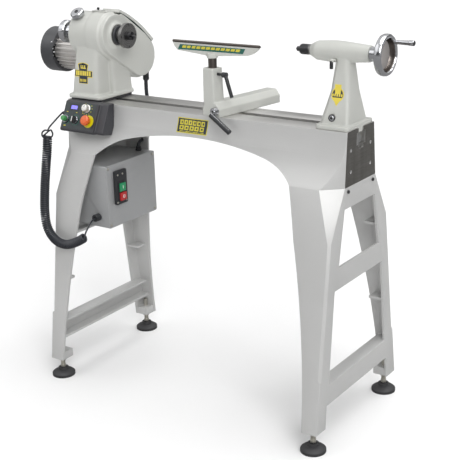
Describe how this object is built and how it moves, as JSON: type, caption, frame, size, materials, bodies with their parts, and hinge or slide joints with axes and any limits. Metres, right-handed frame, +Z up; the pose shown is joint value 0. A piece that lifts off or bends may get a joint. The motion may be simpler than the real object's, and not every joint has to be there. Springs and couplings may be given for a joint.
{
  "type": "wood lathe",
  "caption": "Floor-standing wood lathe with a cast bed, two splayed legs, swivelling belt headstock, banjo with tool rest, and a tailstock with a handwheel quill.",
  "frame": {"origin": "centre of the bounding box on the floor, midway between the fan cowl's end and the tailstock handle's tip", "axes": "+X along the bed from headstock to tailstock, +Y away from the operator, +Z up"},
  "size_m": [1.397, 0.528, 1.2054],
  "materials": {
    "casting_paint": "satin",
    "machined_iron": "brushed",
    "steel": "brushed",
    "blackened_steel": "satin",
    "zinc_steel": "satin",
    "chrome": "polished",
    "black_plastic": "matte",
    "charcoal_plastic": "textured",
    "black_rubber": "matte",
    "sheet_paint": "satin",
    "green_paint": "satin",
    "black_paint": "satin",
    "motor_aluminium": "cast",
    "pulley_aluminium": "turned",
    "green_button": "gloss",
    "red_button": "gloss",
    "yellow_label": "matte",
    "display_glass": "gloss"
  },
  "bodies": {
    "frame": {"bed": "casting_paint", "leg_left": "casting_paint", "leg_right": "casting_paint", "leg_bolts": "blackened_steel", "foot_jam_nuts": "zinc_steel", "levelling_foot_front_left": "black_rubber", "levelling_foot_rear_left": "black_rubber", "levelling_foot_front_right": "black_rubber", "levelling_foot_rear_right": "black_rubber", "control_box": "sheet_paint", "control_box_cover": "sheet_paint", "cover_screws": "zinc_steel", "inverter_module": "black_plastic", "power_switch_body": "black_plastic", "cord_gland": "black_plastic", "coil_cord": "black_rubber", "motor_cable": "black_rubber"},
    "carriage": {"headstock_carriage": "machined_iron", "headstock_clamp": "steel"},
    "headstock": {"headstock_casting": "casting_paint", "spindle_bearings": "steel", "bearing_cap": "black_paint", "drive_belt": "black_rubber"},
    "spindle": {"spindle": "steel", "spindle_pulley": "pulley_aluminium", "faceplate": "steel", "drive_centre": "blackened_steel", "outboard_handwheel": "chrome"},
    "motor": {"motor_body": "motor_aluminium", "fan_cowl": "black_paint"},
    "rotor": {"motor_rotor": "steel", "motor_pulley": "pulley_aluminium"},
    "door": {"belt_door": "green_paint"},
    "index_plunger": {"index_knob": "chrome"},
    "banjo_plate": {"banjo_clamp_plate": "steel"},
    "banjo_bolt": {"banjo_clamp_bolt": "steel"},
    "banjo": {"banjo": "casting_paint"},
    "cam_lever": {"banjo_cam_lever": "chrome"},
    "post": {"rest_post": "steel"},
    "rest": {"tool_rest": "casting_paint"},
    "rest_lever": {"rest_lock_lever": "black_plastic"},
    "tailstock": {"tailstock": "casting_paint", "tailstock_clamp": "steel"},
    "tail_cam": {"tailstock_cam_lever": "chrome"},
    "handwheel": {"tailstock_handwheel": "chrome"},
    "quill": {"quill": "steel", "live_centre_body": "blackened_steel"},
    "grip": {"handwheel_handle": "chrome"},
    "centre_point": {"live_centre_point": "steel"},
    "quill_lever": {"quill_lock_lever": "black_plastic"},
    "pendant": {"pendant_case": "charcoal_plastic", "pendant_display": "display_glass", "button_bezels": "chrome", "stop_ring": "yellow_label"},
    "run": {"run_button": "green_button"},
    "stop": {"stop_button": "red_button"},
    "selector": {"direction_selector": "black_plastic"},
    "speed": {"speed_knob": "motor_aluminium"},
    "power_on": {"power_on_button": "green_button"},
    "power_off": {"power_off_button": "red_button"}
  },
  "joints": [
    {"name": "headstock_slide", "type": "slide", "parent": "frame", "child": "carriage", "axis": [1, 0, 0], "range_m": [0, 0.25], "deforming": ["motor_cable"]},
    {"name": "headstock_swivel", "type": "hinge", "parent": "carriage", "child": "headstock", "pos_m": [-0.3895, 0, 0.924], "axis": [0, 0, 1], "range_deg": [-90, 0], "deforming": ["motor_cable"]},
    {"name": "spindle_turn", "type": "hinge", "parent": "headstock", "child": "spindle", "pos_m": [-0.3815, 0, 1.121], "axis": [1, 0, 0], "continuous": true},
    {"name": "motor_tension", "type": "slide", "parent": "headstock", "child": "motor", "axis": [0, -0.8331, 0.5532], "range_m": [0, 0.005]},
    {"name": "motor_turn", "type": "hinge", "parent": "motor", "child": "rotor", "pos_m": [-0.3815, 0.128, 1.036], "axis": [1, 0, 0], "continuous": true},
    {"name": "belt_door_hinge", "type": "hinge", "parent": "headstock", "child": "door", "pos_m": [-0.3465, 0.021, 1.1902], "axis": [1, 0, 0], "range_deg": [0, 90]},
    {"name": "index_pull", "type": "slide", "parent": "headstock", "child": "index_plunger", "axis": [0, -0.5592, 0.829], "range_m": [0, 0.008], "stiffness_N_per_m": 400, "springref_m": -0.004},
    {"name": "banjo_slide", "type": "slide", "parent": "frame", "child": "banjo_plate", "axis": [1, 0, 0], "range_m": [-0.18, 0.12]},
    {"name": "banjo_swing", "type": "hinge", "parent": "banjo_plate", "child": "banjo_bolt", "pos_m": [0.1175, 0, 0.916], "axis": [0, 0, 1], "range_deg": [-25, 8]},
    {"name": "banjo_reach", "type": "slide", "parent": "banjo_bolt", "child": "banjo", "axis": [0.1392, 0.9903, 0], "range_m": [-0.1, 0]},
    {"name": "banjo_cam", "type": "hinge", "parent": "banjo", "child": "cam_lever", "pos_m": [0.13078, -0.08871, 0.935], "axis": [0.1392, 0.9903, 0], "range_deg": [-20, 30]},
    {"name": "rest_lift", "type": "slide", "parent": "banjo", "child": "post", "axis": [0, 0, 1], "range_m": [-0.018, 0.05]},
    {"name": "rest_turn", "type": "hinge", "parent": "post", "child": "rest", "pos_m": [0.10293, -0.06056, 1.08], "axis": [0, 0, 1], "range_deg": [-90, 90]},
    {"name": "rest_lock", "type": "hinge", "parent": "banjo", "child": "rest_lever", "pos_m": [0.12175, -0.06321, 1.04], "axis": [0.9903, -0.1392, 0], "range_deg": [-30, 60]},
    {"name": "tailstock_slide", "type": "slide", "parent": "frame", "child": "tailstock", "axis": [1, 0, 0], "range_m": [-0.2, 0]},
    {"name": "tailstock_cam", "type": "hinge", "parent": "tailstock", "child": "tail_cam", "pos_m": [0.4985, 0.06, 0.946], "axis": [0, 1, 0], "range_deg": [0, 80]},
    {"name": "handwheel_turn", "type": "hinge", "parent": "tailstock", "child": "handwheel", "pos_m": [0.6325, 0, 1.121], "axis": [1, 0, 0], "range_deg": [0, 5760]},
    {"name": "quill_feed", "type": "slide", "parent": "tailstock", "child": "quill", "axis": [-1, 0, 0], "range_m": [0, 0.0801]},
    {"name": "handle_spin", "type": "hinge", "parent": "handwheel", "child": "grip", "pos_m": [0.6485, 0.0373, 1.15121], "axis": [1, 0, 0], "continuous": true},
    {"name": "centre_turn", "type": "hinge", "parent": "quill", "child": "centre_point", "pos_m": [0.3785, 0, 1.121], "axis": [1, 0, 0], "continuous": true},
    {"name": "quill_lock", "type": "hinge", "parent": "tailstock", "child": "quill_lever", "pos_m": [0.4905, -0.045, 1.102], "axis": [0, 1, 0], "range_deg": [-45, 45]},
    {"name": "pendant_pull", "type": "slide", "parent": "frame", "child": "pendant", "axis": [0, -1, 0], "range_m": [0, 0.04], "deforming": ["coil_cord"]},
    {"name": "run_press", "type": "slide", "parent": "pendant", "child": "run", "axis": [0, 0.9063, -0.4226], "range_m": [0, 0.003], "stiffness_N_per_m": 300, "springref_m": -0.002},
    {"name": "stop_press", "type": "slide", "parent": "pendant", "child": "stop", "axis": [0, 0.9063, -0.4226], "range_m": [0, 0.004], "stiffness_N_per_m": 400, "springref_m": -0.003},
    {"name": "selector_turn", "type": "hinge", "parent": "pendant", "child": "selector", "pos_m": [-0.3795, -0.14336, 0.86762], "axis": [0, -0.9063, 0.4226], "range_deg": [-45, 45]},
    {"name": "speed_turn", "type": "hinge", "parent": "pendant", "child": "speed", "pos_m": [-0.3395, -0.12645, 0.90387], "axis": [0, -0.9063, 0.4226], "range_deg": [-150, 150]},
    {"name": "power_on_press", "type": "slide", "parent": "frame", "child": "power_on", "axis": [-1, 0, 0], "range_m": [0, 0.003], "stiffness_N_per_m": 400, "springref_m": -0.003},
    {"name": "power_off_press", "type": "slide", "parent": "frame", "child": "power_off", "axis": [-1, 0, 0], "range_m": [0, 0.003], "stiffness_N_per_m": 400, "springref_m": -0.003}
  ],
  "couplings": [
    {"joint": "motor_turn", "follows": "spindle_turn", "ratio": 1.2},
    {"joint": "quill_feed", "follows": "handwheel_turn", "m_per_rad": 0.00079577}
  ]
}
